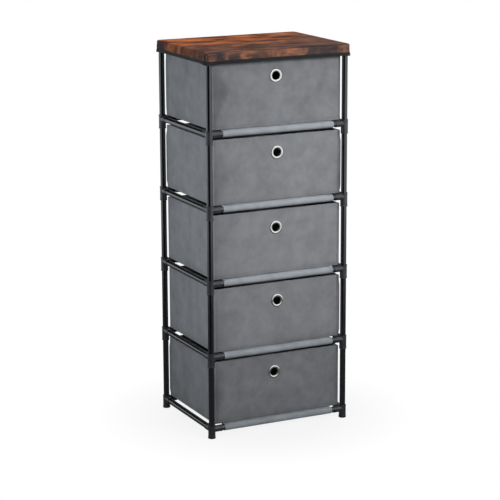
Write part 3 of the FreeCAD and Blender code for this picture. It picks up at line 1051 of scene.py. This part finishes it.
def stitch_row(start, end):
    """A straight row of stitches, made as one stitch and an array."""
    start, end = Vector(start), Vector(end)
    run = end - start
    count = round(run.length / STITCH_PITCH)
    axis = max(range(3), key=lambda i: abs(run[i]))
    select_only()
    bpy.ops.mesh.primitive_uv_sphere_add(segments=5, ring_count=4, radius=STITCH_R, location=(0, 0, 0))
    row = bpy.context.object
    row.scale[axis] = STITCH_LENGTH / 2 / STITCH_R
    row.location = start + run * (0.5 / count)
    bpy.ops.object.transform_apply(location=True, rotation=False, scale=True)
    array = row.modifiers.new("row", "ARRAY")
    array.count = count
    array.use_relative_offset = False
    array.use_constant_offset = True
    array.constant_offset_displace = run / count
    bpy.ops.object.modifier_apply(modifier=array.name)
    return row


def join_rows(name, rows):
    select_only(*rows)
    bpy.ops.object.join()
    rows[0].name = rows[0].data.name = name
    return rows[0]


def drawer_stitches(name):
    """Rows beside the four upright seams and round the foot of the box."""
    side, end = HALF.x - SEAM_IN, HALF.y - SEAM_IN
    low, high = SEAM_IN + 2 * MM, BOX.z - 6 * MM
    rows = []
    for way_x in (-1, 1):
        for way_y in (-1, 1):
            for x, y in ((way_x * side, way_y * HALF.y), (way_x * HALF.x, way_y * end)):
                rows.append(stitch_row((x, y, low), (x, y, high)))
    for way in (-1, 1):
        rows.append(stitch_row((-side, way * HALF.y, SEAM_IN), (side, way * HALF.y, SEAM_IN)))
        rows.append(stitch_row((way * HALF.x, -end, SEAM_IN), (way * HALF.x, end, SEAM_IN)))
    return join_rows(name, rows)


def copy_of(pattern, name):
    """A copy with its own mesh, alone in the selection."""
    piece = pattern.copy()
    piece.data = pattern.data.copy()
    piece.name = piece.data.name = name
    bpy.context.scene.collection.objects.link(piece)
    select_only(piece)
    return piece


def drop_pattern(pattern):
    mesh = pattern.data
    bpy.data.objects.remove(pattern)
    bpy.data.meshes.remove(mesh)


def thread(name, dark, light):
    """Spun thread, with a fine fuzz of loose fibres."""
    made = Finish(name, roughness=0.7, specular=0.3)
    fuzz = made.speckle(made.place(), 2600.0, detail=3.0)
    return made.done(Base_Color=made.mix(fuzz.ramp(0.3, 0.7), dark, light),
                     Normal=made.bump(fuzz, 0.1 * MM))


GREY_THREAD = thread("grey_sewing_thread", grey(0.10), grey(0.19))
row_pattern = drawer_stitches("stitch_rows")
for number, name in enumerate(DRAWERS, 1):
    stitches = copy_of(row_pattern, name + "_stitches")
    loosen(stitches, number, hole_centre(name))
    shift(stitches, (0, 0, STANDS_AT[name]))
    soften(stitches, 80)
    finish_piece(stitches, GREY_THREAD, name, "drawer_cloth")
drop_pattern(row_pattern)


# ------------------------------------------------------------------------------ drawer linings
# A second box of thinner non-woven cloth inside the boards. The drawer's turned-in rim holds it
# down round its edge, and its walls hang a little inwards.
LINING_THICK, LINING_SLACK = 0.6 * MM, 0.8 * MM
LINING_FLOOR_EDGE = 1.0 * MM
lining_low, lining_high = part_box("drawer_1_lining")
lining_size = lining_high - lining_low
LINING_FLOOR = lining_low.z - STANDS_AT["drawer_1"]


def make_lining(name, hole):
    low = Vector((lining_low.x, lining_low.y, LINING_FLOOR))
    high = Vector((lining_high.x, lining_high.y, LINING_FLOOR + lining_size.z))
    piece = open_box(name, low, high, LINING_FLOOR_EDGE)
    box_cells(low, high, hole)
    punch(low.y, hole)
    close_editing(piece)
    return piece


def slacken_lining(piece, number, hole):
    """The lining hangs slightly inwards between the rim and the floor."""
    for vertex in piece.data.vertices:
        point = vertex.co
        clear = ease(point.z, 9 * MM, 30 * MM) * ease(BOX.z - RIM_TURN - point.z, 1 * MM, 20 * MM)
        clear *= ease(math.hypot(point.x - hole.x, point.z - hole.z), 18 * MM, 40 * MM)
        wave = noise.noise(Vector((point.x * 18, point.y * 18, point.z * 15 + number * 5))) + 0.6
        reach = max(0.0, wave) * LINING_SLACK * clear
        if abs(abs(point.x) - lining_high.x) < 1e-5:
            point.x -= math.copysign(reach, point.x)
        if abs(abs(point.y) - lining_high.y) < 1e-5:
            point.y -= math.copysign(reach, point.y)


LINING_CLOTH = spunbond("grey_lining_nonwoven", (0.118, 0.119, 0.123, 1), (0.175, 0.176, 0.180, 1),
                        cloud_share=0.6)
lining_cut, lining_area = box_flat(lining_size.x, lining_size.y, lining_size.z, 0)
for number, name in enumerate(DRAWERS, 1):
    hole = hole_centre(name)
    lining = make_lining(name + "_lining_box", hole)
    lay_out(lining, box_panel)
    slacken_lining(lining, number, hole)
    shift(lining, (0, 0, STANDS_AT[name]))
    thicken(lining, LINING_THICK, -1)
    soften(lining, 50)
    finish_piece(lining, LINING_CLOTH, name, "lining_cloth", name + "_lining")


# ------------------------------------------------------------------------------ drawer boards
# Grey-brown cardboard between the cloths: one in front, one behind, two halves in each side,
# and a loose base board covered with the lining's cloth.

def greyboard():
    made = Finish("grey_brown_cardboard", roughness=0.9, specular=0.2)
    pulp = made.speckle(made.place(), 240.0, detail=5.0, roughness=0.7)
    fleck = made.speckle(made.place(), 1300.0, detail=2.0)
    colour = made.mix((pulp * 0.7 + fleck * 0.3).ramp(0.35, 0.65),
                      (0.24, 0.2, 0.15, 1), (0.4, 0.34, 0.26, 1))
    return made.done(Base_Color=colour, Normal=made.bump(pulp, 0.1 * MM))


def covered_board():
    """Cloth glued to a board: the lining's grey, without its loose lay."""
    made = Finish("cloth_covered_board", roughness=0.86, specular=0.25)
    place = made.place()
    fibre = made.speckle(place, 620.0, detail=4.0, roughness=0.7)
    cloud = made.speckle(place, 24.0, detail=4.0, roughness=0.6)
    colour = made.mix((cloud * 0.7 + fibre * 0.3).ramp(0.35, 0.65),
                      (0.118, 0.119, 0.123, 1), (0.175, 0.176, 0.180, 1))
    return made.done(Base_Color=colour, Normal=made.bump(fibre, 0.1 * MM))


dress([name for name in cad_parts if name.endswith(("front_board", "back_board", "side_boards"))],
      greyboard())
dress([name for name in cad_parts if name.endswith("base_board")], covered_board())


# ------------------------------------------------------------------------------ eyelets
# Each front has a nickel-plated steel eyelet as its finger hole: a domed rim and a barrel
# outside, rolled over a flat washer inside.
RING_POINTS = 72
BARREL_R, RIM_R, RIM_RISE, SHEET = 11 * MM, 18.5 * MM, 1.9 * MM, 0.8 * MM
ROLL_R, ROLL_LEVEL, ROLL_RISE = 13.4 * MM, 4.8 * MM, 0.9 * MM
WASHER_THICK, WASHER_EDGE = 0.8 * MM, 0.5 * MM

washer_low, washer_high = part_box("drawer_1_eyelet_washer")
WASHER_R = (washer_high.x - washer_low.x) / 2


def turned(name, outline):
    """A ring turned about the front's normal from a closed outline of (radius, way out) points."""
    select_only()
    first_r, first_out = outline[0]
    bpy.ops.mesh.primitive_circle_add(vertices=RING_POINTS, radius=first_r,
                                      rotation=(math.pi / 2, 0, 0), location=(0, -first_out, 0))
    bpy.ops.object.transform_apply(location=True, rotation=True, scale=True)
    ring = bpy.context.object
    ring.name = ring.data.name = name
    bpy.ops.object.mode_set(mode="EDIT")
    bpy.ops.mesh.select_all(action="SELECT")
    for radius, out in outline[1:] + outline[:1]:
        bpy.ops.mesh.extrude_edges_move()
        move_picked(lambda point: Vector((point.x, 0, point.z)).normalized() * radius
                    - Vector((0, out, 0)))
    bpy.ops.mesh.select_all(action="SELECT")
    bpy.ops.mesh.remove_doubles(threshold=1e-6)
    bpy.ops.mesh.normals_make_consistent(inside=False)
    close_editing(ring)
    soften(ring, 40)
    return ring


def half_round(start_r, end_r, level, rise, count):
    """An arc from one radius to another that rises from a level and comes back to it."""
    middle, half = (start_r + end_r) / 2, (start_r - end_r) / 2
    turns = [math.pi * i / count for i in range(count + 1)]
    return [(middle + half * math.cos(turn), level + rise * math.sin(turn)) for turn in turns]


def eyelet_outline():
    """The dome as an arc, the barrel, the roll at its end, and back along the inside."""
    dome = half_round(RIM_R, BARREL_R, 0, RIM_RISE, 12)
    roll = half_round(BARREL_R, ROLL_R, -ROLL_LEVEL, -ROLL_RISE, 8)
    inside = [(BARREL_R + SHEET, 0.1 * MM - ROLL_LEVEL), (BARREL_R + SHEET, 0.25 * MM),
              ((BARREL_R + RIM_R) / 2, RIM_RISE - SHEET), (RIM_R - SHEET, 0.0)]
    return dome + roll + inside


def washer_outline():
    """A flat washer against the lining, with its outer edges eased."""
    front, back, eased = -WALL, -WALL - WASHER_THICK, WASHER_R - WASHER_EDGE
    return [(HOLE_R, front), (eased, front), (WASHER_R, front - WASHER_EDGE / 2),
            (WASHER_R, front - WASHER_EDGE), (eased - 0.1 * MM, back), (HOLE_R, back)]


def polished_nickel():
    made = Finish("polished_nickel", roughness=0.14, metallic=1.0)
    haze = made.speckle(made.place(), 420.0, detail=4.0)
    colour = made.mix(haze.ramp(0.4, 0.7), (0.84, 0.82, 0.77, 1), (0.93, 0.91, 0.86, 1))
    return made.done(Base_Color=colour, Roughness=0.1 + haze * 0.12,
                     Normal=made.bump(haze, 0.02 * MM))


NICKEL = polished_nickel()
ring_pattern = turned("ring_pattern", eyelet_outline())
washer_pattern = turned("washer_pattern", washer_outline())
for name in DRAWERS:
    on_front = hole_centre(name) + Vector((0, 0, STANDS_AT[name]))
    ring = copy_of(ring_pattern, name + "_finger_ring")
    shift(ring, on_front)
    finish_piece(ring, NICKEL, name, "eyelet_metal", name + "_eyelet")
    washer = copy_of(washer_pattern, name + "_ring_washer")
    shift(washer, on_front)
    finish_piece(washer, NICKEL, name, "eyelet_metal", name + "_eyelet_washer")
drop_pattern(ring_pattern)
drop_pattern(washer_pattern)


# ------------------------------------------------------------------------------ floor and light
# A white floor that fades into a white surround and keeps the dresser's soft shadow. Large soft
# lamps light it plainly, and two black cards give its gloss something dark to mirror.
FLOOR_SIZE, FLOOR_DROP = 40, 0.4 * MM
SHADOW_FADE = 0.22, 0.45       # m from the middle of the floor, from the fullest shadow to none
MIRROR_FADE = 1.4, 3.1         # the same, from nearly dark to nearly white in gloss


def rays(made):
    """1 for rays that look straight or through glass, and 1 for rays that gloss mirrors."""
    path = made.node("LightPath", {}, {}).socket.node
    seen, through, glossy = [Signal(made.tree, path.outputs[kind])
                             for kind in ("Is Camera Ray", "Is Transmission Ray", "Is Glossy Ray")]
    return seen.most(through), glossy


def white_floor():
    """Grey under the lamps. Plain white covers it where it is seen, but for a share under the
    dresser that keeps its shadow."""
    made = Finish("white_floor", roughness=0.9, specular=0.0)
    made.shader.inputs["Base Color"].default_value = grey(0.5)
    x, y, _ = made.parts(made.place())
    far = (x * x + y * y) ** 0.5
    seen, glossy = rays(made)
    mirrored = glossy * (far.ramp(*MIRROR_FADE) * 0.85 + 0.1)
    tint = made.mix(glossy, grey(1.0), (0.88, 0.93, 1.0, 1))
    glow = made.node("Emission", {}, {0: made.mix(seen.most(mirrored), grey(0.0), tint)})
    white = (seen * (far.ramp(*SHADOW_FADE) * 0.12 + 0.88)).most(glossy)
    lit = Signal(made.tree, made.shader.outputs[0])
    made.show("Material Output", made.node("MixShader", {}, {0: white, 1: lit, 2: glow}))
    return made.material


select_only()
bpy.ops.mesh.primitive_plane_add(size=FLOOR_SIZE, location=(0, 0, -FLOOR_DROP))
floor = bpy.context.object
floor.name = "floor"
floor.data.materials.append(white_floor())


def white_surround():
    """White where it is seen or mirrored, and a plain grey-white light elsewhere."""
    world = bpy.data.worlds.new("studio")
    bpy.context.scene.world = world
    world.use_nodes = True
    made = Nodes(world.node_tree)
    light = made.tree.nodes["Background"]
    light.inputs["Color"].default_value = (0.93, 0.96, 1.0, 1)
    light.inputs["Strength"].default_value = 0.23
    seen, glossy = rays(made)
    shown = made.node("Background", {}, {"Color": grey(1.0)})
    made.show("World Output", made.node("MixShader", {}, {
        0: seen.most(glossy), 1: Signal(made.tree, light.outputs[0]), 2: shown}))


def soft_lamp(name, place, target, size, power, spread=180, colour=(1, 1, 1)):
    """A large lamp that gloss doesn't mirror. A spread under 180 degrees narrows its beam."""
    lamp = bpy.data.objects.new(name, bpy.data.lights.new(name, "AREA"))
    lamp.data.shape = "RECTANGLE"
    lamp.data.size, lamp.data.size_y = size
    lamp.data.energy = power
    lamp.data.spread = math.radians(spread)
    lamp.data.color = colour
    lamp.location = place
    lamp.rotation_euler = (Vector(target) - Vector(place)).to_track_quat("-Z", "Y").to_euler()
    lamp.visible_glossy = False
    bpy.context.scene.collection.objects.link(lamp)


def black_card(name, place, size, turn):
    """A black card that only shows as a dark band in gloss, as set up round shiny tube."""
    select_only()
    bpy.ops.mesh.primitive_plane_add(size=1, location=place, rotation=turn)
    card = bpy.context.object
    card.name = name
    card.scale = (size[0], size[1], 1)
    made = Finish(name, roughness=0.9, specular=0.1)
    card.data.materials.append(made.done(Base_Color=grey(0.02)))
    card.visible_camera = card.visible_diffuse = card.visible_shadow = False


white_surround()
black_card("front_card", place=(-0.63, -0.735, 1.25), size=(1.3, 2.5),
           turn=(math.pi / 2, 0, math.radians(-41.3)))
black_card("high_card", place=(0, 3.4, 2.0), size=(8.0, 5.6), turn=(0, 0, 0))
soft_lamp("key_lamp", place=(1.1, -1.9, 1.5), target=(0, 0, 0.655), size=(1.1, 0.9),
          power=4.8, spread=45, colour=(0.97, 0.98, 1.0))
soft_lamp("left_lamp", place=(-2.5, -0.5, 1.4), target=(0, 0, 0.66), size=(0.9, 1.0),
          power=4.0, spread=48, colour=(0.88, 0.94, 1.0))
soft_lamp("top_lamp", place=(0.2, 0.9, 2.9), target=(0, 0, 1.0), size=(1.4, 1.4), power=16)

bpy.context.scene.view_settings.view_transform = "Standard"
